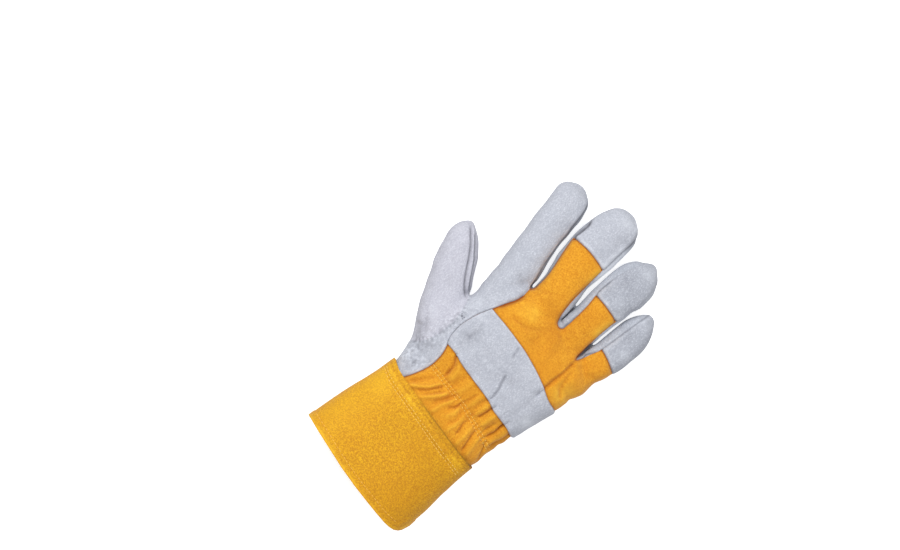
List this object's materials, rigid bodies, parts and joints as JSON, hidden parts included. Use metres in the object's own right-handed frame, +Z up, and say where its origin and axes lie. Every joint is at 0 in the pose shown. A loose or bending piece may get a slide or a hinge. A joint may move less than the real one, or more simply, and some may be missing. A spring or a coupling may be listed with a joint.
{
  "type": "work glove",
  "caption": "Right-hand rigger's work glove with a split-leather palm, thumb, index finger, fingertips and knuckle strap, a cotton drill back and a stiff flared safety cuff.",
  "frame": {"origin": "on the flattened underside of the palm, in the middle of the palm, at the height of the surface the glove rests on", "axes": "+Z up, out of the back of the hand; +Y from the wrist towards the fingertips; +X towards the little finger, so the thumb is on the -X side"},
  "size_m": [0.153, 0.2728, 0.0543],
  "materials": {
    "split_leather": "undyed grey split suede, matt with a short nap",
    "cotton_drill": "orange-yellow cotton drill, matt",
    "cuff_canvas": "stiff yellow rubberised canvas, slightly smoother than the drill"
  },
  "bodies": {
    "root": {"palm": "split_leather", "thumb": "split_leather", "back": "cotton_drill", "middle_ring_front": "split_leather", "middle_tip": "split_leather", "ring_tip": "split_leather", "little_tip": "split_leather", "index_middle_fourchette": "split_leather", "middle_ring_fourchette": "split_leather", "ring_little_fourchette": "split_leather", "knuckle_strap": "split_leather", "cuff": "cuff_canvas"}
  },
  "joints": []
}
